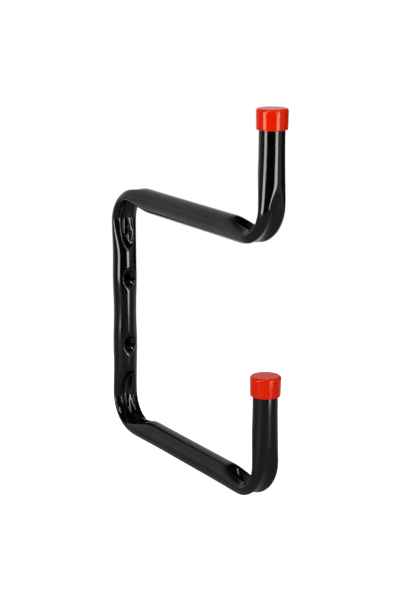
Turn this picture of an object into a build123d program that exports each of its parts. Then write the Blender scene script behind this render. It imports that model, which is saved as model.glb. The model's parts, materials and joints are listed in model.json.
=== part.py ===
from build123d import *
import math
import os

# A wall hook bent from one round tube, with an upper and a lower prong.
# The frame: X runs across the hook, Y runs into the wall and Z runs up.
# The origin lies on the wall, midway between the two screw holes.
# All lengths are in millimetres, and lengths along the tube follow its axis.

# Tube stock
TUBE_DIAMETER = 20.0
TUBE_WALL = 1.2

# Layout of the bent tube, from axis to axis
ARM_SPACING = 206.0
UPPER_REACH = 234.5
LOWER_REACH = 230.0
UPPER_PRONG_HEIGHT = 97.0
LOWER_PRONG_HEIGHT = 95.0
BEND_RADIUS = 24.4

# Spread of the section to both sides, over its reach from each bend's middle
SPREAD = 0.165
SPREAD_REACH = 68.0
SPREAD_EASE = 0.93

# Flattening of the section on the inside of each bend
INNER_FLATTENING = 0.62
INNER_REACH = 49.0
INNER_EASE = 0.75

# Flattening of the section on the outside of each bend
OUTER_FLATTENING = 0.30
OUTER_REACH = 26.0
OUTER_EASE = 0.90

# Crease that forms along the outside of each bend, as deep as its floor is near the axis
CREASE_FLOOR = 4.0
CREASE_END_RADIUS = 80.0
CREASE_NOSE_RADIUS = 8.5
CREASE_LIP = 4.0

# Groove that the bending nose presses into the inside of each bend, down to a thin waist
WAIST_GAP = 0.4
GROOVE_STRAIGHT = 26.0
GROOVE_END_RADIUS = 12.0
GROOVE_NOSE_RADIUS = 2.4
GROOVE_LIP = 2.8

# Screw holes, each in a dimple pressed into the front of the leg
SCREW_SPACING = 60.0
SCREW_DROP = 2.0
SCREW_HOLE_DIAMETER = 6.5
DIMPLE_FLOOR = 4.5
DIMPLE_END_RADIUS = 6.0
DIMPLE_NOSE_RADIUS = 3.8
DIMPLE_LIP = 3.0
DIMPLE_SPREAD = 0.08
DIMPLE_REACH = 29.0
DIMPLE_EASE = 1.0

# Push-on end caps
CAP_DEPTH = 14.0
CAP_WALL = 1.9
CAP_END_THICKNESS = 2.0
CAP_FIT = 0.05
CAP_FLARE = 0.4
CAP_TOP_ROUND = 1.2
CAP_LIP_ROUND = 0.6

# How finely the tube's skin is drawn
POINTS_AROUND = 48
SECTION_PITCH = 4.0

TUBE_RADIUS = TUBE_DIAMETER / 2
LEG_Y = -TUBE_RADIUS
LEG_MIDDLE = SCREW_DROP
UPPER_ARM_Z = LEG_MIDDLE + ARM_SPACING / 2
LOWER_ARM_Z = LEG_MIDDLE - ARM_SPACING / 2
UPPER_PRONG_Y = LEG_Y - UPPER_REACH
LOWER_PRONG_Y = LEG_Y - LOWER_REACH
UPPER_END_Z = UPPER_ARM_Z + UPPER_PRONG_HEIGHT
LOWER_END_Z = LOWER_ARM_Z + LOWER_PRONG_HEIGHT
SCREW_HEIGHTS = (SCREW_SPACING / 2, -SCREW_SPACING / 2)

# Corners of the tube's axis, from the upper prong's end to the lower prong's end
CORNERS = [
    (0, UPPER_PRONG_Y, UPPER_END_Z),
    (0, UPPER_PRONG_Y, UPPER_ARM_Z),
    (0, LEG_Y, UPPER_ARM_Z),
    (0, LEG_Y, LOWER_ARM_Z),
    (0, LOWER_PRONG_Y, LOWER_ARM_Z),
    (0, LOWER_PRONG_Y, LOWER_END_Z),
]
# Side of the axis on which each bend closes: +1 is to the left of the way along the tube
BEND_SIDES = (1, -1, -1, -1)
FRONT_OF_LEG = -1
BEND_ARC = BEND_RADIUS * math.pi / 2

# Floor of the groove: the two walls come together here with only the waist's gap between them
WAIST = 2 * TUBE_WALL + WAIST_GAP
GROOVE_FLOOR = WAIST - CREASE_FLOOR


def bend_middles():
    """Length along the axis to the middle of each bend."""
    saving = 2 * BEND_RADIUS - BEND_ARC
    middles = []
    travelled = 0.0
    for start, corner in zip(CORNERS, CORNERS[1:-1]):
        travelled += math.dist(start, corner)
        middles.append(travelled - saving * (len(middles) + 1 / 2))
    return middles


def dimple_middles(bends):
    """Length along the axis to each screw hole, on the leg between the second and third bends."""
    leg_start = bends[1] + BEND_ARC / 2
    leg_top = UPPER_ARM_Z - BEND_RADIUS
    return [leg_start + leg_top - height for height in SCREW_HEIGHTS]


def easing(distance, reach, ease):
    """One over the middle, easing to nothing at the reach. Ease is the share of the reach that slopes."""
    share = min(max((reach - abs(distance)) / (reach * ease), 0.0), 1.0)
    return share * share * (3 - 2 * share)


def rounded_minimum(first, second, lip):
    """The lower of two heights, with the ridge where they cross rounded over."""
    overlap = max(lip - abs(first - second), 0.0) / lip
    return min(first, second) - overlap ** 3 * lip / 6


def nose(distance, across, floor, straight, end_radius, nose_radius, inset):
    """Height of a pressing nose: straight for a while along the tube, rounded at its ends and across.

    The tube's inner skin lies a wall's thickness further on, so there the same nose counts as bigger.
    """
    past_straight = max(abs(distance) - straight, 0.0)
    along_rise = past_straight ** 2 / (2 * (end_radius + inset))
    across_rise = across ** 2 / (2 * (nose_radius + inset))
    return floor - inset + along_rise + across_rise


def crush(turn_across, turn_up, distance, inset):
    """One point of the section for a bend that closes upwards, from the point's place on a round of radius 1."""
    width = TUBE_RADIUS * (1 + SPREAD * easing(distance, SPREAD_REACH, SPREAD_EASE))
    across = (width - inset) * turn_across
    if turn_up > 0:
        rise = TUBE_RADIUS * (1 - INNER_FLATTENING * easing(distance, INNER_REACH, INNER_EASE))
        groove = nose(
            distance, across, GROOVE_FLOOR, GROOVE_STRAIGHT, GROOVE_END_RADIUS, GROOVE_NOSE_RADIUS, inset
        )
        height = rounded_minimum((rise - inset) * turn_up, groove, GROOVE_LIP)
    else:
        rise = TUBE_RADIUS * (1 - OUTER_FLATTENING * easing(distance, OUTER_REACH, OUTER_EASE))
        crease = nose(distance, across, CREASE_FLOOR, 0.0, CREASE_END_RADIUS, CREASE_NOSE_RADIUS, inset)
        height = -rounded_minimum((rise - inset) * -turn_up, crease, CREASE_LIP)
    return across, height


def dimple(across, height, distance, inset):
    """Moves one point of the section for a screw dimple pressed down from the top of the section."""
    across *= 1 + DIMPLE_SPREAD * easing(distance, DIMPLE_REACH, DIMPLE_EASE)
    if height > 0:
        bowl = nose(distance, across, DIMPLE_FLOOR, 0.0, DIMPLE_END_RADIUS, DIMPLE_NOSE_RADIUS, inset)
        height = rounded_minimum(height, bowl, DIMPLE_LIP)
    return across, height


def section_point(angle, along, bends, dimples, inset):
    """One point of the tube's section, across and to the left of its axis, set in from the outer skin."""
    middle, side = min(zip(bends, BEND_SIDES), key=lambda bend: abs(along - bend[0]))
    across, height = crush(math.cos(angle), math.sin(angle) * side, along - middle, inset)
    left = height * side
    for middle in dimples:
        across, height = dimple(across, left * FRONT_OF_LEG, along - middle, inset)
        left = height * FRONT_OF_LEG
    return across, left


def section_wire(axis, along, bends, dimples, inset):
    """The closed outline of the tube's outer or inner skin at one place."""
    centre = axis.position_at(along, PositionMode.LENGTH)
    heading = axis.tangent_at(along, PositionMode.LENGTH)
    left_way = Vector(1, 0, 0).cross(heading)
    points = []
    for step in range(POINTS_AROUND):
        angle = 2 * math.pi * step / POINTS_AROUND
        across, left = section_point(angle, along, bends, dimples, inset)
        points.append(centre + Vector(across, 0, 0) + left_way * left)
    parameters = [step / POINTS_AROUND for step in range(POINTS_AROUND + 1)]
    return Wire([Edge.make_spline(points, periodic=True, parameters=parameters)])


def section_runs(length, bends, dimples):
    """Stretches of the tube in order, each a list of the lengths where a section is drawn.

    Each bend, with the half of the leg next to it, is drawn closely. The rest is plain tube.
    """
    reach = max(SPREAD_REACH, INNER_REACH, OUTER_REACH)
    leg_middle = sum(dimples) / len(dimples)
    pressed_spans = [
        (bends[0] - reach, bends[0] + reach),
        (bends[1] - reach, leg_middle),
        (leg_middle, bends[2] + reach),
        (bends[3] - reach, bends[3] + reach),
    ]
    runs = []
    done = 0.0
    for start, end in pressed_spans:
        if start > done:
            runs.append([done, start])
        count = math.ceil((end - start) / SECTION_PITCH)
        runs.append([start + (end - start) * step / count for step in range(count + 1)])
        done = end
    runs.append([done, length])
    return runs


def hook_tube():
    """The bent tube: an outer and an inner skin closed at both ends, with the screw holes drilled."""
    axis = FilletPolyline(*CORNERS, radius=BEND_RADIUS)
    bends = bend_middles()
    dimples = dimple_middles(bends)
    faces = []
    for inset in (0.0, TUBE_WALL):
        for run in section_runs(axis.length, bends, dimples):
            wires = [section_wire(axis, along, bends, dimples, inset) for along in run]
            faces += Shell.make_loft(wires).faces()
    for along in (0.0, axis.length):
        rim = section_wire(axis, along, bends, dimples, 0.0)
        bore = section_wire(axis, along, bends, dimples, TUBE_WALL)
        faces.append(Face(rim, [bore]))
    tube = Solid(Shell(faces))
    for height in SCREW_HEIGHTS:
        drill = Cylinder(SCREW_HOLE_DIAMETER / 2, 2 * TUBE_DIAMETER, rotation=(90, 0, 0))
        tube -= Pos(0, LEG_Y, height) * drill
    return tube


def end_cap(prong_y, tube_end_z):
    """A vinyl cup pushed down over a prong until it rests on the tube's end."""
    bore = TUBE_RADIUS + CAP_FIT
    rim = bore + CAP_WALL
    head = rim + CAP_FLARE
    rim_z = -CAP_DEPTH
    top_z = CAP_END_THICKNESS
    outline = Polyline(
        (0, top_z), (head, top_z), (rim, rim_z), (bore, rim_z), (bore, 0), (0, 0), close=True
    )
    cup = revolve(Plane.XZ * make_face(outline), Axis.Z)
    top_edge = cup.edges().group_by(Axis.Z)[-1]
    cup = fillet(top_edge, CAP_TOP_ROUND)
    rim_edge = cup.edges().group_by(Axis.Z)[0].sort_by(SortBy.RADIUS)[-1]
    cup = fillet(rim_edge, CAP_LIP_ROUND)
    return Pos(0, prong_y, tube_end_z) * cup


def main():
    os.makedirs("parts", exist_ok=True)
    pieces = {
        "hook_tube": hook_tube(),
        "upper_end_cap": end_cap(UPPER_PRONG_Y, UPPER_END_Z),
        "lower_end_cap": end_cap(LOWER_PRONG_Y, LOWER_END_Z),
    }
    for name, piece in pieces.items():
        export_step(piece, f"parts/{name}.step")


main()
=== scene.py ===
# %% [markdown]
# # A double wall hook, bent from one tube
# The real hook is a single steel tube, bent four times in one plane, coated gloss black, and closed
# with a red vinyl cap on each prong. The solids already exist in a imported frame. This lesson builds the
# pieces that are seen around that frame: the pressed and crushed tube, the two caps, their finishes, and
# a plain studio. Everything is in metres, with X across the hook, Y into the wall and Z up.

import bmesh
import bpy
import json
import math
from mathutils import Matrix, Vector


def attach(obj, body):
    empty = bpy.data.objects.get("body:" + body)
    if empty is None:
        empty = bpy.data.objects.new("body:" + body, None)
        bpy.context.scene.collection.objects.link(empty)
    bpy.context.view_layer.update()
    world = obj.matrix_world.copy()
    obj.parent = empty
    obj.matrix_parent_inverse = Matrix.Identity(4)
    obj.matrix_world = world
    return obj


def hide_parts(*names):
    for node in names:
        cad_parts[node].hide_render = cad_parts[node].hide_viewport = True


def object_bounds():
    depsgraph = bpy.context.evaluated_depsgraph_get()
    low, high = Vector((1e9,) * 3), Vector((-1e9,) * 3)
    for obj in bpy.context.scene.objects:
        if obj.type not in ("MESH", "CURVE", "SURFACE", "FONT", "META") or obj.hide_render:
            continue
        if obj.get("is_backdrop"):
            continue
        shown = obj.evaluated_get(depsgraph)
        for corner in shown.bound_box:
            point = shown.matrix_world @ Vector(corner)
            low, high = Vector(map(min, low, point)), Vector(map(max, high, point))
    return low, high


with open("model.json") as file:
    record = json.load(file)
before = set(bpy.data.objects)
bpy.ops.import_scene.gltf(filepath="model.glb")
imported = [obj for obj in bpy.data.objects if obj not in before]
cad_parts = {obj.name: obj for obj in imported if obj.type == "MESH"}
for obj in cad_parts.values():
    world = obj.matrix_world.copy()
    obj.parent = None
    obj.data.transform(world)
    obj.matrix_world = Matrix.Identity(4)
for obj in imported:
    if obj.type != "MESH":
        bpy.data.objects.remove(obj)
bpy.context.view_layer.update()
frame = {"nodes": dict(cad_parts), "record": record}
MM = 0.001
print("nodes in the frame:", sorted(frame["nodes"]))

# %% [markdown]
# ## Wiring nodes from a script
# Geometry Nodes and shaders are both trees of nodes. A small set of helpers keeps the trees readable:
# one makes a tree with named sockets, one adds a node and feeds its inputs, and two add a sum or a product,
# of numbers or of vectors. An input is fed by name or by position, with another node's output or with a
# plain value.


# %% Helpers for node trees
def feed(tree, socket, value):
    """Links an input to another node's output, or sets it to a plain value."""
    if isinstance(value, bpy.types.NodeSocket):
        tree.links.new(value, socket)
    else:
        socket.default_value = value


def add_node(tree, kind, feeds=None, **settings):
    """Adds one node, sets its options, then feeds its inputs by name or by position."""
    node = tree.nodes.new(kind)
    for option, setting in settings.items():
        setattr(node, option, setting)
    for key, value in (feeds or {}).items():
        feed(tree, node.inputs[key], value)
    return node


def reckon(tree, operation, *terms):
    """Adds one Math node and returns its result."""
    node = add_node(tree, "ShaderNodeMath", dict(enumerate(terms)), operation=operation)
    return node.outputs[0]


def reckon_vector(tree, operation, *terms):
    """Adds one Vector Math node and returns its result."""
    node = add_node(tree, "ShaderNodeVectorMath", dict(enumerate(terms)), operation=operation)
    return node.outputs[0]


def new_tree(name, kind, inputs, outputs):
    """Makes a node group with named sockets, and returns it with the sockets inside it."""
    tree = bpy.data.node_groups.new(name, kind)
    for label, socket_type in inputs.items():
        tree.interface.new_socket(label, in_out="INPUT", socket_type=socket_type)
    for label, socket_type in outputs.items():
        tree.interface.new_socket(label, in_out="OUTPUT", socket_type=socket_type)
    given = tree.nodes.new("NodeGroupInput").outputs
    result = tree.nodes.new("NodeGroupOutput").inputs
    return tree, given, result


NUMBER = "NodeSocketFloat"
WHOLE = "NodeSocketInt"
SHAPE = "NodeSocketGeometry"
FINISH = "NodeSocketMaterial"
PLACE = "NodeSocketVector"
print("node helpers are ready")

# %% [markdown]
# ## One blow of a bending nose
# A tube this thick doesn't bend freely: a rounded nose is pressed into the inside of each bend and leaves
# an almond-shaped groove, and a shallower crease forms on the outside. The screw dimples are pressed the
# same way. So one small group describes a press. The nose is a bar that follows the tube: it is straight
# for a while on each side of its middle and rounded at its ends, and it is round across. So its surface
# rises by a parabola both ways from its floor. The wall keeps the lower of its own height and the nose's.
# The Math node's Smooth Minimum rounds the lip where they meet, which is what sheet metal does.

# %% The press group
NOSE_LABELS = ("Floor", "Straight", "End Radius", "Nose Radius", "Lip")


def parabola(tree, offset, radius):
    """How far a round nose rises at an offset from its lowest point."""
    square = reckon(tree, "MULTIPLY", offset, offset)
    return reckon(tree, "DIVIDE", square, reckon(tree, "MULTIPLY", radius, 2.0))


def make_press():
    """Height of the wall once a round-ended nose has come down to its floor."""
    inputs = dict.fromkeys(("Height", "Across", "Distance", *NOSE_LABELS), NUMBER)
    tree, given, result = new_tree("Nose press", "GeometryNodeTree", inputs, {"Height": NUMBER})
    past_straight = reckon(tree, "SUBTRACT", given["Distance"], given["Straight"])
    along = parabola(tree, reckon(tree, "MAXIMUM", past_straight, 0.0), given["End Radius"])
    sideways = parabola(tree, given["Across"], given["Nose Radius"])
    nose = reckon(tree, "ADD", given["Floor"], reckon(tree, "ADD", along, sideways))
    feed(tree, result["Height"], reckon(tree, "SMOOTH_MIN", given["Height"], nose, given["Lip"]))
    return tree


press = make_press()
print("press group:", len(press.nodes), "nodes")

# %% [markdown]
# ## A crushed bend and a screw dimple
# Near a bend the round section spreads sideways and flattens, more on the inside than on the outside, and
# then the nose presses its groove. Both groups work on one point of the section at a time: how far it is
# across the tube, how far it is to the left of the tube's axis, and how far along the tube it lies. Side
# says on which side of the axis the bend closes.

# %% Sizes of the crush, the groove, the crease and the dimples
tube_sizes = {
    "Tube Radius": 10.0 * MM,
    "Bend Radius": 24.4 * MM,
    "Spread": 0.165,
    "Spread Reach": 68.0 * MM,
    "Spread Ease": 0.93,
    "Inner Flattening": 0.62,
    "Inner Reach": 49.0 * MM,
    "Inner Ease": 0.75,
    "Outer Flattening": 0.30,
    "Outer Reach": 26.0 * MM,
    "Outer Ease": 0.90,
    "Groove Floor": -1.2 * MM,
    "Groove Straight": 26.0 * MM,
    "Groove End Radius": 12.0 * MM,
    "Groove Nose Radius": 2.4 * MM,
    "Groove Lip": 4.0 * MM,
    "Crease Floor": 4.0 * MM,
    "Crease Straight": 0.0 * MM,
    "Crease End Radius": 80.0 * MM,
    "Crease Nose Radius": 8.5 * MM,
    "Crease Lip": 4.0 * MM,
    "Dimple Floor": 4.5 * MM,
    "Dimple Straight": 0.0 * MM,
    "Dimple End Radius": 6.0 * MM,
    "Dimple Nose Radius": 3.8 * MM,
    "Dimple Lip": 3.0 * MM,
    "Dimple Reach": 29.0 * MM,
    "Dimple Spread": 0.08,
}
POINT_LABELS = ("Across", "Left", "Along", "Middle", "Side")
POINT_RESULTS = {"Across": NUMBER, "Left": NUMBER}
print("sizes of the tube and its presses:", len(tube_sizes))


# %% Helpers for the crush and the dimple
def easing(tree, distance, reach, ease):
    """One over the middle, easing to nothing at the reach. Ease is the share of the reach that slopes."""
    full = reckon(tree, "MULTIPLY", reach, reckon(tree, "SUBTRACT", 1.0, ease))
    feeds = {"Value": distance, "From Min": reach, "From Max": full}
    return add_node(tree, "ShaderNodeMapRange", feeds, interpolation_type="SMOOTHSTEP").outputs[0]


def shrunk(tree, value, amount, share):
    """A value made smaller by an amount's share."""
    left_over = reckon(tree, "SUBTRACT", 1.0, reckon(tree, "MULTIPLY", amount, share))
    return reckon(tree, "MULTIPLY", value, left_over)


def place_group(tree, group, feeds):
    """Places a finished group in another tree."""
    node = tree.nodes.new("GeometryNodeGroup")
    node.node_tree = group
    for key, value in feeds.items():
        feed(tree, node.inputs[key], value)
    return node


def place_press(tree, given, name, height, across, distance):
    """Places the press group with one nose's own floor, radii and lip."""
    feeds = {label: given[name + " " + label] for label in NOSE_LABELS}
    feeds.update(Height=height, Across=across, Distance=distance)
    return place_group(tree, press, feeds).outputs["Height"]


def pick_side(tree, height, when_above, when_below):
    """One value where the point lies on the pressed side of the axis, and another where it doesn't."""
    above = add_node(tree, "FunctionNodeCompare", {"A": height, "B": 0.0}, operation="GREATER_THAN")
    feeds = {"Switch": above.outputs[0], "True": when_above, "False": when_below}
    return add_node(tree, "GeometryNodeSwitch", feeds, input_type="FLOAT").outputs[0]


print("helpers for the crush and the dimple are ready")


# %% The crush group
def make_crush():
    """Moves one point of the section for one bend."""
    inputs = dict.fromkeys([*POINT_LABELS, *tube_sizes], NUMBER)
    tree, given, result = new_tree("Crushed bend", "GeometryNodeTree", inputs, POINT_RESULTS)
    distance = reckon(tree, "ABSOLUTE", reckon(tree, "SUBTRACT", given["Along"], given["Middle"]))
    spread, inside, outside = [
        easing(tree, distance, given[name + " Reach"], given[name + " Ease"])
        for name in ("Spread", "Inner", "Outer")
    ]
    wider = reckon(tree, "MULTIPLY_ADD", given["Spread"], spread, 1.0)
    across = reckon(tree, "MULTIPLY", given["Across"], wider)
    height = reckon(tree, "MULTIPLY", given["Left"], given["Side"])
    depth = reckon(tree, "MULTIPLY", height, -1.0)
    inner = shrunk(tree, height, given["Inner Flattening"], inside)
    outer = shrunk(tree, depth, given["Outer Flattening"], outside)
    grooved = place_press(tree, given, "Groove", inner, across, distance)
    creased = place_press(tree, given, "Crease", outer, across, distance)
    moved = pick_side(tree, height, grooved, reckon(tree, "MULTIPLY", creased, -1.0))
    feed(tree, result["Across"], across)
    feed(tree, result["Left"], reckon(tree, "MULTIPLY", moved, given["Side"]))
    return tree


crush = make_crush()
print("crush group:", len(crush.nodes), "nodes")


# %% The dimple group
def make_dimple():
    """Moves one point of the section for one screw dimple."""
    inputs = dict.fromkeys([*POINT_LABELS, *tube_sizes], NUMBER)
    tree, given, result = new_tree("Screw dimple", "GeometryNodeTree", inputs, POINT_RESULTS)
    distance = reckon(tree, "ABSOLUTE", reckon(tree, "SUBTRACT", given["Along"], given["Middle"]))
    share = easing(tree, distance, given["Dimple Reach"], 1.0)
    wider = reckon(tree, "MULTIPLY_ADD", given["Dimple Spread"], share, 1.0)
    across = reckon(tree, "MULTIPLY", given["Across"], wider)
    height = reckon(tree, "MULTIPLY", given["Left"], given["Side"])
    dented = place_press(tree, given, "Dimple", height, across, distance)
    moved = pick_side(tree, height, dented, height)
    feed(tree, result["Across"], across)
    feed(tree, result["Left"], reckon(tree, "MULTIPLY", moved, given["Side"]))
    return tree


dimple = make_dimple()
print("dimple group:", len(dimple.nodes), "nodes")

# %% [markdown]
# ## The route of the tube
# The tube's axis is a chain of six corners in the plane X = 0: down the upper prong, back along the upper
# arm, down the leg on the wall, out along the lower arm and up the lower prong. The corners come from a
# few sizes of the real hook. The frame's box gives its place: the leg touches the wall at Y = 0, and the
# screw holes lie at equal heights above and below the origin.

# %% Corners of the route
tube_radius = tube_sizes["Tube Radius"]
bend_radius = tube_sizes["Bend Radius"]
arm_spacing = 206.0 * MM
upper_reach = 234.5 * MM
lower_reach = 230.0 * MM
upper_prong_height = 97.0 * MM
lower_prong_height = 95.0 * MM
screw_drop = 2.0 * MM
leg_y = -tube_radius
upper_arm_z = screw_drop + arm_spacing / 2
lower_arm_z = screw_drop - arm_spacing / 2
upper_end = Vector((0, leg_y - upper_reach, upper_arm_z + upper_prong_height))
lower_end = Vector((0, leg_y - lower_reach, lower_arm_z + lower_prong_height))
corners = [
    upper_end,
    Vector((0, upper_end.y, upper_arm_z)),
    Vector((0, leg_y, upper_arm_z)),
    Vector((0, leg_y, lower_arm_z)),
    Vector((0, lower_end.y, lower_arm_z)),
    lower_end,
]

# Side of the axis on which each bend closes: one is to the left of the way along the tube
bend_sides = (1.0, -1.0, -1.0, -1.0)
front_of_leg = -1.0
bend_arc = bend_radius * math.pi / 2
bend_saving = 2 * bend_radius - bend_arc
bend_middles = []
travelled = 0.0
for start, corner in zip(corners, corners[1:-1]):
    travelled += (corner - start).length
    bend_middles.append(travelled - bend_saving * (len(bend_middles) + 0.5))
mount = frame["record"]["mounts"][0]
screw_spacing = mount["dims"]["spacing_y_mm"] * MM
screw_heights = (screw_spacing / 2, -screw_spacing / 2)
leg_start = bend_middles[1] + bend_arc / 2
dimple_middles = [leg_start + upper_arm_z - bend_radius - height for height in screw_heights]
print("bend middles along the tube in mm:", [round(middle / MM, 1) for middle in bend_middles])
print("screw holes along the tube in mm:", [round(middle / MM, 1) for middle in dimple_middles])

# %% [markdown]
# ## The tube as a Geometry Nodes tree
# Curve to Mesh sweeps a circle along the rounded route, which is the tube before it is pressed. Each point
# of the swept mesh remembers the axis point it belongs to, the heading there, its length along the tube
# and its turn round the section. With those four, the crush and dimple groups work out where the point
# goes, and Set Position moves it there. Changing one named size reshapes all four bends.

# %% The axis and the section
BEND_STEPS = 64


def capture_axis(tree, given):
    """The rounded route, in rings that remember their centre, heading and length along the tube."""
    feeds = {"Curve": given["Route"], "Count": BEND_STEPS, "Radius": given["Bend Radius"]}
    rounded = add_node(tree, "GeometryNodeFilletCurve", feeds, mode="POLY")
    feeds = {"Curve": rounded.outputs[0], "Count": given["Rings"]}
    route = add_node(tree, "GeometryNodeResampleCurve", feeds, mode="COUNT")
    axis = add_node(tree, "GeometryNodeCaptureAttribute", {"Geometry": route.outputs[0]})
    axis.capture_items.new("VECTOR", "Centre")
    axis.capture_items.new("VECTOR", "Heading")
    axis.capture_items.new("FLOAT", "Along")
    feed(tree, axis.inputs["Centre"], add_node(tree, "GeometryNodeInputPosition").outputs[0])
    feed(tree, axis.inputs["Heading"], add_node(tree, "GeometryNodeInputTangent").outputs[0])
    feed(tree, axis.inputs["Along"], add_node(tree, "GeometryNodeSplineParameter").outputs["Length"])
    return axis


def turned_ring(tree, points, radius):
    """A circle whose points remember their turn, and the angle that this turn is."""
    feeds = {"Resolution": points, "Radius": radius}
    circle = add_node(tree, "GeometryNodeCurvePrimitiveCircle", feeds, mode="RADIUS")
    ring = add_node(tree, "GeometryNodeCaptureAttribute", {"Geometry": circle.outputs["Curve"]})
    ring.capture_items.new("FLOAT", "Turn")
    feed(tree, ring.inputs["Turn"], add_node(tree, "GeometryNodeSplineParameter").outputs["Factor"])
    angle = reckon(tree, "MULTIPLY", ring.outputs["Turn"], 2 * math.pi)
    return ring.outputs["Geometry"], angle


print("each bend of the route is drawn in", BEND_STEPS, "steps")


# %% Pressing and finishing
def press_section(tree, given, axis, angle, steps):
    """How far across and to the left each point of the section lies after every bend and dimple."""
    across = reckon(tree, "MULTIPLY", given["Tube Radius"], reckon(tree, "COSINE", angle))
    left = reckon(tree, "MULTIPLY", given["Tube Radius"], reckon(tree, "SINE", angle))
    for group, label, side in steps:
        feeds = {name: given[name] for name in tube_sizes}
        feeds.update(Across=across, Left=left, Along=axis.outputs["Along"], Middle=given[label], Side=side)
        moved = place_group(tree, group, feeds)
        across = moved.outputs["Across"]
        left = moved.outputs["Left"]
    return across, left


def place_beside(tree, axis, across, left):
    """A place beside the axis: so far across the hook, and so far to the left of the way along."""
    sideways = add_node(tree, "ShaderNodeCombineXYZ", {"X": across}).outputs[0]
    left_way = reckon_vector(tree, "CROSS_PRODUCT", (1.0, 0.0, 0.0), axis.outputs["Heading"])
    feeds = {0: left_way, "Scale": left}
    to_left = add_node(tree, "ShaderNodeVectorMath", feeds, operation="SCALE").outputs[0]
    offset = reckon_vector(tree, "ADD", sideways, to_left)
    return reckon_vector(tree, "ADD", axis.outputs["Centre"], offset)


def finish_mesh(tree, mesh, finish):
    """Smooth shading, a plain mesh and a finish, which is how each tree here ends."""
    smooth = add_node(tree, "GeometryNodeSetShadeSmooth", {"Geometry": mesh})
    plain = add_node(tree, "GeometryNodeRealizeInstances", {"Geometry": smooth.outputs[0]})
    feeds = {"Geometry": plain.outputs[0], "Material": finish}
    return add_node(tree, "GeometryNodeSetMaterial", feeds).outputs[0]


print("helpers for pressing and finishing are ready")


# %% The tube tree
def make_tube_tree():
    """Sweeps the tube along the route, then presses the bends and the dimples."""
    middles = ["Bend %d" % (place + 1) for place in range(len(bend_middles))]
    holes = ["Screw %d" % (place + 1) for place in range(len(dimple_middles))]
    numbers = dict.fromkeys([*tube_sizes, *middles, *holes], NUMBER)
    inputs = {"Route": SHAPE, **numbers, "Rings": WHOLE, "Points Around": WHOLE, "Coat": FINISH}
    tree, given, result = new_tree("Pressed tube", "GeometryNodeTree", inputs, {"Tube": SHAPE})
    axis = capture_axis(tree, given)
    section, angle = turned_ring(tree, given["Points Around"], given["Tube Radius"])
    feeds = {"Curve": axis.outputs["Geometry"], "Profile Curve": section}
    swept = add_node(tree, "GeometryNodeCurveToMesh", feeds)
    outward = add_node(tree, "GeometryNodeFlipFaces", {"Mesh": swept.outputs[0]})
    steps = [(crush, label, side) for label, side in zip(middles, bend_sides)]
    steps += [(dimple, label, front_of_leg) for label in holes]
    across, left = press_section(tree, given, axis, angle, steps)
    place = place_beside(tree, axis, across, left)
    pressed = add_node(tree, "GeometryNodeSetPosition", {"Geometry": outward.outputs[0], "Position": place})
    feed(tree, result["Tube"], finish_mesh(tree, pressed.outputs[0], given["Coat"]))
    values = {**tube_sizes, **dict(zip(middles, bend_middles)), **dict(zip(holes, dimple_middles))}
    return tree, values


tube_tree, tube_values = make_tube_tree()
print("tube tree:", len(tube_tree.nodes), "nodes and", len(tube_values), "sizes")

# %% [markdown]
# ## Finishes
# The tube has a gloss coat that was sprayed and baked, so it mirrors the studio, but its surface is not
# perfectly level: it has the faint orange peel of sprayed paint. The caps are dipped vinyl: softer gloss,
# a strong orange red, and a slight cloudiness. Both share one effect, a skin that is a little uneven, so
# that effect is one shader group with its own scales. It gives a height for a Bump node and a mask that
# varies colour and roughness. Shaders themselves stay in each material.


# %% The uneven skin group
def make_uneven_skin():
    """A fine ripple for bumps and a broad cloud for colour and gloss, both from noise."""
    inputs = {"Place": PLACE, "Ripple Scale": NUMBER, "Cloud Scale": NUMBER}
    outputs = {"Ripple": NUMBER, "Cloud": NUMBER}
    tree, given, result = new_tree("Uneven skin", "ShaderNodeTree", inputs, outputs)
    for label, detail in (("Ripple", 2.0), ("Cloud", 4.0)):
        noise = add_node(tree, "ShaderNodeTexNoise", {"Vector": given["Place"], "Detail": detail})
        feed(tree, noise.inputs["Scale"], given[label + " Scale"])
        feed(tree, result[label], noise.outputs["Fac"])
    return tree


uneven_skin = make_uneven_skin()
print("uneven skin group:", len(uneven_skin.nodes), "nodes")


# %% The two finishes
def make_finish(name, dark, light, roughness, ripple, ripple_height, cloud, settings):
    """A glossy finish whose colour, roughness and level vary a little over the surface."""
    material = bpy.data.materials.new(name)
    material.use_nodes = True
    tree = material.node_tree
    shader = tree.nodes["Principled BSDF"]
    place = add_node(tree, "ShaderNodeTexCoord").outputs["Object"]
    skin = tree.nodes.new("ShaderNodeGroup")
    skin.node_tree = uneven_skin
    feed(tree, skin.inputs["Place"], place)
    skin.inputs["Ripple Scale"].default_value = ripple
    skin.inputs["Cloud Scale"].default_value = cloud
    feeds = {"Factor": skin.outputs["Cloud"]}
    colour = add_node(tree, "ShaderNodeMix", feeds, data_type="RGBA")
    feeds = {"Value": skin.outputs["Cloud"], "To Min": roughness[0], "To Max": roughness[1]}
    gloss = add_node(tree, "ShaderNodeMapRange", feeds)
    feeds = {"Height": skin.outputs["Ripple"], "Distance": ripple_height}
    bump = add_node(tree, "ShaderNodeBump", feeds)
    sockets = [socket for socket in colour.inputs if socket.type == "RGBA"]
    sockets[0].default_value = (*dark, 1.0)
    sockets[1].default_value = (*light, 1.0)
    mixed = [socket for socket in colour.outputs if socket.type == "RGBA"][0]
    feed(tree, shader.inputs["Base Color"], mixed)
    feed(tree, shader.inputs["Roughness"], gloss.outputs[0])
    feed(tree, shader.inputs["Normal"], bump.outputs[0])
    for label, setting in settings.items():
        shader.inputs[label].default_value = setting
    return material


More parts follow.
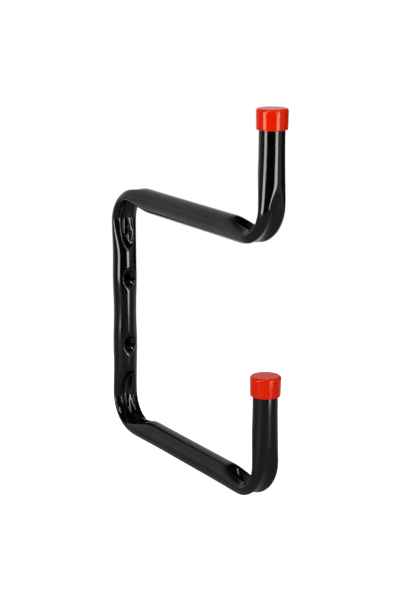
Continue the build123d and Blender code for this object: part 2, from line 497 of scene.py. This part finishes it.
black_coat = make_finish(
    "black_gloss_coat",
    dark=(0.0008, 0.0008, 0.0009),
    light=(0.0016, 0.0016, 0.0017),
    roughness=(0.08, 0.13),
    ripple=900.0,
    ripple_height=0.008 * MM,
    cloud=35.0,
    settings={"IOR": 1.6},
)
red_vinyl = make_finish(
    "red_dipped_vinyl",
    dark=(0.62, 0.008, 0.0002),
    light=(0.70, 0.014, 0.0004),
    roughness=(0.11, 0.17),
    ripple=500.0,
    ripple_height=0.01 * MM,
    cloud=120.0,
    settings={"IOR": 1.5, "Specular IOR Level": 0.45, "Specular Tint": (1.0, 0.75, 0.5, 1.0)},
)
print("finishes:", black_coat.name, "and", red_vinyl.name)

# %% [markdown]
# ## Making the tube
# The tree runs as a modifier on a curve that holds only the six corners. Its inputs are set by their
# socket identifiers before anything is evaluated. A Solidify modifier then gives the skin the thickness of
# the steel, and a Boolean drills the screw holes straight through. The evaluated result is turned into a
# plain mesh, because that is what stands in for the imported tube.


# %% Helpers for making a piece
def set_inputs(modifier, tree, values):
    """Sets a modifier's inputs by socket identifier."""
    for item in tree.interface.items_tree:
        if item.item_type == "SOCKET" and item.in_out == "INPUT" and item.name in values:
            modifier[item.identifier] = values[item.name]


def plain_piece(source, name):
    """Turns an object with modifiers into an object with a plain mesh at the origin."""
    bpy.context.view_layer.update()
    evaluated = source.evaluated_get(bpy.context.evaluated_depsgraph_get())
    mesh = bpy.data.meshes.new_from_object(evaluated)
    mesh.name = name
    piece = bpy.data.objects.new(name, mesh)
    bpy.context.scene.collection.objects.link(piece)
    data = source.data
    bpy.data.objects.remove(source)
    if isinstance(data, bpy.types.Curve):
        bpy.data.curves.remove(data)
    else:
        bpy.data.meshes.remove(data)
    return piece


def route_object(name, points):
    """A curve object with one open chain of straight runs."""
    curve = bpy.data.curves.new(name, "CURVE")
    curve.dimensions = "3D"
    spline = curve.splines.new("POLY")
    spline.points.add(len(points) - 1)
    for knot, point in zip(spline.points, points):
        knot.co = (*point, 1.0)
    route = bpy.data.objects.new(name, curve)
    bpy.context.scene.collection.objects.link(route)
    return route


def report_piece(piece):
    """Prints a piece's triangles, its volume and its open edges."""
    shape = bmesh.new()
    shape.from_mesh(piece.data)
    volume = shape.calc_volume(signed=True) / MM ** 3
    open_edges = sum(1 for edge in shape.edges if not edge.is_manifold)
    triangles = sum(len(face.verts) - 2 for face in shape.faces)
    shape.free()
    print(piece.name, "has", triangles, "triangles,", round(volume), "cubic mm and", open_edges, "open edges")


print("helpers for making a piece are ready")

# %% The drill for the screw holes
hole_radius = mount["dims"]["hole_r_mm"] * MM
drill_length = 4 * tube_radius
drill_sides = 48
drill_mesh = bpy.data.meshes.new("screw_drill")
drill_shape = bmesh.new()
for height in screw_heights:
    turn = Matrix.Translation((0, leg_y, height)) @ Matrix.Rotation(math.pi / 2, 4, "X")
    bmesh.ops.create_cone(
        drill_shape,
        cap_ends=True,
        segments=drill_sides,
        radius1=hole_radius,
        radius2=hole_radius,
        depth=drill_length,
        matrix=turn,
    )
drill_shape.to_mesh(drill_mesh)
drill_shape.free()
drill = bpy.data.objects.new("screw_drill", drill_mesh)
bpy.context.scene.collection.objects.link(drill)
print("drill for", len(screw_heights), "holes of", round(2 * hole_radius / MM, 1), "mm")

# %% The tube piece
tube_wall = 1.2 * MM
tube_rings = 480
tube_points = 80
steel_edge = math.radians(40)
tube_route = route_object("tube_route", corners)
sweep = tube_route.modifiers.new("Pressed tube", "NODES")
sweep.node_group = tube_tree
tube_values.update({"Rings": tube_rings, "Points Around": tube_points, "Coat": black_coat})
set_inputs(sweep, tube_tree, tube_values)
skin_piece = plain_piece(tube_route, "tube_skin")
report_piece(skin_piece)
thicken = skin_piece.modifiers.new("Steel wall", "SOLIDIFY")
thicken.thickness = tube_wall
thicken.offset = -1.0
thicken.use_even_offset = True
punch = skin_piece.modifiers.new("Screw holes", "BOOLEAN")
punch.operation = "DIFFERENCE"
punch.solver = "EXACT"
punch.object = drill
tube = plain_piece(skin_piece, "bent_tube")
tube.data.set_sharp_from_angle(angle=steel_edge)
bpy.data.objects.remove(drill)
bpy.data.meshes.remove(drill_mesh)
report_piece(tube)
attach(tube, "root")
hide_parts("hook_tube")

# %% [markdown]
# ## The caps
# Each cap is a vinyl cup that is pushed down over the tube. Its shape is a lathe shape, so its half outline
# is drawn once as six corners, each with its own rounding, and turned about the prong's axis.

# %% The cap tree
CORNER_STEPS = 8
WELD_DISTANCE = 0.001 * MM


def make_cap_tree():
    """Rounds the half outline's corners and turns it about an upright axis."""
    inputs = {
        "Outline": SHAPE,
        "Tube End": PLACE,
        "Outline Step": NUMBER,
        "Points Around": WHOLE,
        "Vinyl": FINISH,
    }
    tree, given, result = new_tree("Turned cap", "GeometryNodeTree", inputs, {"Cap": SHAPE})
    chain = add_node(tree, "GeometryNodeMeshToCurve", {"Mesh": given["Outline"]})
    rounding = add_node(tree, "GeometryNodeInputNamedAttribute", {"Name": "rounding"}, data_type="FLOAT")
    feeds = {"Curve": chain.outputs[0], "Count": CORNER_STEPS, "Radius": rounding.outputs[0]}
    rounded = add_node(tree, "GeometryNodeFilletCurve", feeds, mode="POLY")
    feeds = {"Curve": rounded.outputs[0], "Length": given["Outline Step"]}
    even = add_node(tree, "GeometryNodeResampleCurve", feeds, mode="LENGTH")
    outline = add_node(tree, "GeometryNodeCaptureAttribute", {"Geometry": even.outputs[0]})
    outline.capture_items.new("VECTOR", "Spot")
    feed(tree, outline.inputs["Spot"], add_node(tree, "GeometryNodeInputPosition").outputs[0])

    ring, angle = turned_ring(tree, given["Points Around"], 1.0)
    feeds = {"Curve": ring, "Profile Curve": outline.outputs["Geometry"]}
    turned = add_node(tree, "GeometryNodeCurveToMesh", feeds)
    spot = add_node(tree, "ShaderNodeSeparateXYZ", {0: outline.outputs["Spot"]})
    feeds = {
        "X": reckon(tree, "MULTIPLY", spot.outputs["X"], reckon(tree, "COSINE", angle)),
        "Y": reckon(tree, "MULTIPLY", spot.outputs["X"], reckon(tree, "SINE", angle)),
        "Z": spot.outputs["Z"],
    }
    round_axis = add_node(tree, "ShaderNodeCombineXYZ", feeds).outputs[0]
    place = reckon_vector(tree, "ADD", round_axis, given["Tube End"])
    moved = add_node(tree, "GeometryNodeSetPosition", {"Geometry": turned.outputs[0], "Position": place})
    feeds = {"Geometry": moved.outputs[0], "Distance": WELD_DISTANCE}
    closed = add_node(tree, "GeometryNodeMergeByDistance", feeds)
    feed(tree, result["Cap"], finish_mesh(tree, closed.outputs[0], given["Vinyl"]))
    return tree


cap_tree = make_cap_tree()
print("cap tree:", len(cap_tree.nodes), "nodes")

# %% The half outline of a cap
cap_depth = 14.0 * MM
cap_wall = 1.9 * MM
cap_end_thickness = 2.0 * MM
cap_fit = 0.05 * MM
cap_flare = 0.4 * MM
cap_top_round = 1.8 * MM
cap_lip_round = 0.6 * MM
cap_bore_round = 0.3 * MM
cap_bore = tube_radius + cap_fit
cap_rim = cap_bore + cap_wall
cap_head = cap_rim + cap_flare
cap_outline = [
    (0.0, cap_end_thickness, 0.0),
    (cap_head, cap_end_thickness, cap_top_round),
    (cap_rim, -cap_depth, cap_lip_round),
    (cap_bore, -cap_depth, cap_bore_round),
    (cap_bore, 0.0, cap_bore_round),
    (0.0, 0.0, 0.0),
]
cap_height = cap_depth + cap_end_thickness
print("cap is", round(2 * cap_head / MM, 1), "mm across and", round(cap_height / MM, 1), "mm tall")


def outline_object(name, outline):
    """A chain of edges whose points carry the rounding of each corner."""
    mesh = bpy.data.meshes.new(name)
    points = [(radius, 0.0, height) for radius, height, _ in outline]
    mesh.from_pydata(points, [(place, place + 1) for place in range(len(points) - 1)], [])
    rounding = mesh.attributes.new("rounding", "FLOAT", "POINT")
    rounding.data.foreach_set("value", [corner[2] for corner in outline])
    chain = bpy.data.objects.new(name, mesh)
    bpy.context.scene.collection.objects.link(chain)
    return chain


# %% The two caps
cap_step = 0.4 * MM
cap_points = 96
vinyl_edge = math.radians(50)
for name, node, tube_end in (
    ("upper_cap", "upper_end_cap", upper_end),
    ("lower_cap", "lower_end_cap", lower_end),
):
    chain = outline_object(name + "_outline", cap_outline)
    lathe = chain.modifiers.new("Turned cap", "NODES")
    lathe.node_group = cap_tree
    cap_values = {
        "Tube End": tuple(tube_end),
        "Outline Step": cap_step,
        "Points Around": cap_points,
        "Vinyl": red_vinyl,
    }
    set_inputs(lathe, cap_tree, cap_values)
    cap = plain_piece(chain, name)
    cap.data.set_sharp_from_angle(angle=vinyl_edge)
    report_piece(cap)
    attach(cap, "root")
    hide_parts(node)

# %% [markdown]
# ## The studio
# A gloss black tube looks like whatever it mirrors, so the studio is what shapes it. Every upright part
# carries two bright bands, one from a tall light on the left and one from a tall light near the front, with
# dark between them where the camera stands. An upright part that is seen from above mirrors what lies
# below the level of the eye, so the lower part of each light makes the bands. A flat top that is seen from
# the far side mirrors the upper part, at a flat angle that would clip it to white, so there the light is
# narrow and set to one side. A fill that isn't mirrored gives the caps the rest of its light.

# %% A soft light
hook_middle = Vector((0, -0.13, 0))


def soft_light(name, place, facing, width, height, radiance, mirrored):
    """A rectangle of light with an even radiance, mirrored by the coat or not."""
    data = bpy.data.lights.new(name, "AREA")
    data.shape = "RECTANGLE"
    data.size = width
    data.size_y = height
    data.energy = radiance * math.pi * width * height
    lamp = bpy.data.objects.new(name, data)
    lamp.location = place
    lamp.rotation_mode = "QUATERNION"
    lamp.rotation_quaternion = facing.to_track_quat("-Z", "Y")
    lamp.visible_glossy = mirrored
    bpy.context.scene.collection.objects.link(lamp)


print("lights stand round a point", round(-hook_middle.y / MM), "mm in front of the wall")

# %% Two tall soft lights
strip_distance = 1.6
strip_low = -0.60
strip_split = 0.02
strip_radiance = 7.6
top_width = 0.20


def strip_light(name, compass, width, low, high, radiance, mirrored=True):
    """A tall soft light that faces the hook. The compass angle runs from the front towards +X."""
    angle = math.radians(compass)
    way = Vector((math.sin(angle), -math.cos(angle), 0))
    place = hook_middle + way * strip_distance + Vector((0, 0, (low + high) / 2))
    soft_light(name, place, -way, width, high - low, radiance, mirrored)


# Each side's compass angle, width, top and turn of its narrow top part
strip_sides = (("left", -85, 0.60, 1.20, 13.0), ("right", 9, 0.56, 0.80, 6.5))
for side, compass, width, high, top_turn in strip_sides:
    strip_light(side + "_strip", compass, width, strip_low, strip_split, strip_radiance)
    strip_light(side + "_strip_top", compass + top_turn, top_width, strip_split, high, strip_radiance)
    fill_radiance = strip_radiance * (1 - top_width / width)
    strip_light(side + "_fill", compass, width, strip_split, high, fill_radiance, mirrored=False)
print(len(strip_sides), "tall lights are up, in three parts each")

# %% [markdown]
# ## Light from above
# The caps' flat tops see neither strip well, so a wide soft light hangs over the hook. The coat doesn't
# mirror it: a patch that size would show as a grey blob in each groove. Two narrow lights high on the left
# and towards the front are mirrored, and draw the thin glints in the grooves and in the screw dimples.

# %% Three high lights
soft_radiance = 3.1

# Each light's place, width, depth, radiance and whether the coat mirrors it
high_lights = (
    ("overhead_soft", Vector((0.0, -0.13, 1.5)), 1.4, 0.9, soft_radiance, False),
    ("high_left", Vector((-0.85, -0.62, 1.26)), 0.22, 0.5, strip_radiance, True),
    ("high_front", Vector((-0.70, -1.02, 1.13)), 0.2, 0.3, strip_radiance, True),
)
for name, place, width, depth, radiance, mirrored in high_lights:
    soft_light(name, place, hook_middle - place, width, depth, radiance, mirrored)
print(len(high_lights), "high lights are up")

# %% [markdown]
# ## The room
# The arms mirror the room behind and beside the hook, so the room is a grey that changes all round and from
# floor to ceiling: pale behind the hook, dim beside the lights, and dark near the camera and overhead. Two
# colour ramps hold those greys, one over the compass and one over the height, and their product is the
# room. The camera itself sees plain white, which Light Path picks out.

# %% The greys of the room
# Compass angles in degrees, and heights from straight down to straight up, each with its grey
round_room = [
    (-180, 1.0), (-165, 0.95), (-146, 0.70), (-134, 0.30), (-108, 0.28), (-96, 0.02), (-3, 0.02), (20, 0.6),
    (50, 0.75), (62, 0.20), (72, 0.05), (135, 0.05), (147, 1.0), (180, 1.0),
]
up_the_room = [
    (-1.0, 0.02), (-0.55, 0.20), (-0.42, 0.50), (-0.34, 0.52), (-0.22, 0.48), (-0.05, 0.47), (0.07, 0.52),
    (0.12, 0.55), (0.18, 0.58), (0.24, 0.52), (0.28, 0.42), (0.5, 0.38), (0.75, 0.04),
]


def grey_ramp(tree, share, greys):
    """A grey that changes along a ramp, from pairs of a place between 0 and 1 and a grey."""
    ramp = add_node(tree, "ShaderNodeValToRGB", {0: share})
    while len(ramp.color_ramp.elements) < len(greys):
        ramp.color_ramp.elements.new(0.5)
    for stop, (place, grey) in zip(ramp.color_ramp.elements, greys):
        stop.position = place
        stop.color = (grey, grey, grey, 1.0)
    return ramp.outputs[0]


print("room:", len(round_room), "greys round it and", len(up_the_room), "from floor to ceiling")

# %% The room
WHITE = (1.0, 1.0, 1.0, 1.0)
world = bpy.data.worlds.new("pale_room")
bpy.context.scene.world = world
world.use_nodes = True
tree = world.node_tree
tree.nodes.clear()
direction = add_node(tree, "ShaderNodeTexCoord").outputs["Generated"]
part = add_node(tree, "ShaderNodeSeparateXYZ", {0: direction})
facing = reckon(tree, "MULTIPLY", part.outputs["Y"], -1.0)
compass = reckon(tree, "ARCTAN2", part.outputs["X"], facing)
share = reckon(tree, "MULTIPLY_ADD", compass, 1 / (2 * math.pi), 0.5)
walls = grey_ramp(tree, share, [(degrees / 360 + 0.5, grey) for degrees, grey in round_room])
level = reckon(tree, "MULTIPLY_ADD", part.outputs["Z"], 0.5, 0.5)
height = grey_ramp(tree, level, [(rise / 2 + 0.5, grey) for rise, grey in up_the_room])
glow = reckon(tree, "MULTIPLY", walls, height)
seen_by_coat = add_node(tree, "ShaderNodeBackground", {"Color": WHITE, "Strength": glow})
seen_by_camera = add_node(tree, "ShaderNodeBackground", {"Color": WHITE, "Strength": 1.0})
path = add_node(tree, "ShaderNodeLightPath")
feeds = {0: path.outputs["Is Camera Ray"], 1: seen_by_coat.outputs[0], 2: seen_by_camera.outputs[0]}
mixed = add_node(tree, "ShaderNodeMixShader", feeds)
add_node(tree, "ShaderNodeOutputWorld", {"Surface": mixed.outputs[0]})
print("room shader:", len(tree.nodes), "nodes")

# %% [markdown]
# ## The floor
# The floor is a flat table. It cuts off the foot of each bright band, as on the real hook, so its front edge
# and its cut corner on the left are placed for that. Its colour is a plain grey in front of the hook, because
# the tube's undersides mirror it there, and pales towards the back, where it runs into the pale room. What
# the camera sees of it is lifted to the white of the room by a glow that only camera rays meet.

# %% The floor
floor_z = -0.215
floor_corners = [(-0.35, -0.87), (1.08, -0.87), (1.08, 0.55), (-1.08, 0.55), (-1.08, -0.15)]
floor_mesh = bpy.data.meshes.new("floor")
floor_points = [(x, y, floor_z) for x, y in floor_corners]
floor_mesh.from_pydata(floor_points, [], [list(range(len(floor_points)))])
floor = bpy.data.objects.new("floor", floor_mesh)
bpy.context.scene.collection.objects.link(floor)
print("floor lies", round(-floor_z / MM), "mm below the middle of the screw holes")

# %% The floor's finish
floor_roughness = 0.6
front_grey = 0.20
back_grey = 0.90
paling_start = 0.05
paling_end = 0.45
paling_turn = 0.8
camera_glow = 0.9
pale = bpy.data.materials.new("pale_floor")
pale.use_nodes = True
tree = pale.node_tree
lit = tree.nodes["Principled BSDF"]
lit.inputs["Roughness"].default_value = floor_roughness
spot = add_node(tree, "ShaderNodeSeparateXYZ", {0: add_node(tree, "ShaderNodeTexCoord").outputs["Object"]})
backwards = reckon(tree, "MULTIPLY_ADD", spot.outputs["X"], paling_turn, spot.outputs["Y"])
feeds = {
    "Value": backwards,
    "From Min": paling_start,
    "From Max": paling_end,
    "To Min": front_grey,
    "To Max": back_grey,
}
feed(tree, lit.inputs["Base Color"], add_node(tree, "ShaderNodeMapRange", feeds).outputs[0])
path = add_node(tree, "ShaderNodeLightPath")
lift = reckon(tree, "MULTIPLY", path.outputs["Is Camera Ray"], camera_glow)
whitened = add_node(tree, "ShaderNodeEmission", {"Strength": lift})
added = add_node(tree, "ShaderNodeAddShader", {0: lit.outputs[0], 1: whitened.outputs[0]})
feed(tree, tree.nodes["Material Output"].inputs["Surface"], added.outputs[0])
floor_mesh.materials.append(pale)
floor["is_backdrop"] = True
bpy.context.scene.view_settings.view_transform = "Standard"
print("floor shader:", len(tree.nodes), "nodes")

# %% [markdown]
# ## The camera
# The camera stands to the left of the hook and a little above it. Its place and lens were worked out from
# the photograph's own outlines, so the render can be laid over it.

# %% Place the camera
photo_height = 601
focal_pixels = 1600.843
azimuth = math.radians(-30.931)
elevation = math.radians(13.538)
roll = math.radians(0.174)
camera_place = (-0.657283, -1.238256, 0.343288)
camera_data = bpy.data.cameras.new("photo_camera")
camera = bpy.data.objects.new("photo_camera", camera_data)
bpy.context.scene.collection.objects.link(camera)
camera_data.lens = focal_pixels * camera_data.sensor_width / photo_height
back = Vector((
    math.sin(azimuth) * math.cos(elevation),
    -math.cos(azimuth) * math.cos(elevation),
    math.sin(elevation),
))
level_right = Vector((0, 0, 1)).cross(back).normalized()
level_up = back.cross(level_right)
right = level_right * math.cos(roll) + level_up * math.sin(roll)
up = level_up * math.cos(roll) - level_right * math.sin(roll)
turn = Matrix((right, up, back)).transposed()
camera.location = camera_place
camera.rotation_mode = "QUATERNION"
camera.rotation_quaternion = turn.to_quaternion()
bpy.context.scene.camera = camera
print("camera is", round(camera.location.length, 3), "m from the wall point")

# %% [markdown]
# ## Closing the lesson
# The box of every piece that is shown, with the floor left out, is measured and printed. The dressed
# hook must stay inside the box of the imported solids.

# %% Sizes before the end
low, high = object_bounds()
print("scene box in mm:", [round(value / MM, 2) for value in (*low, *high)])
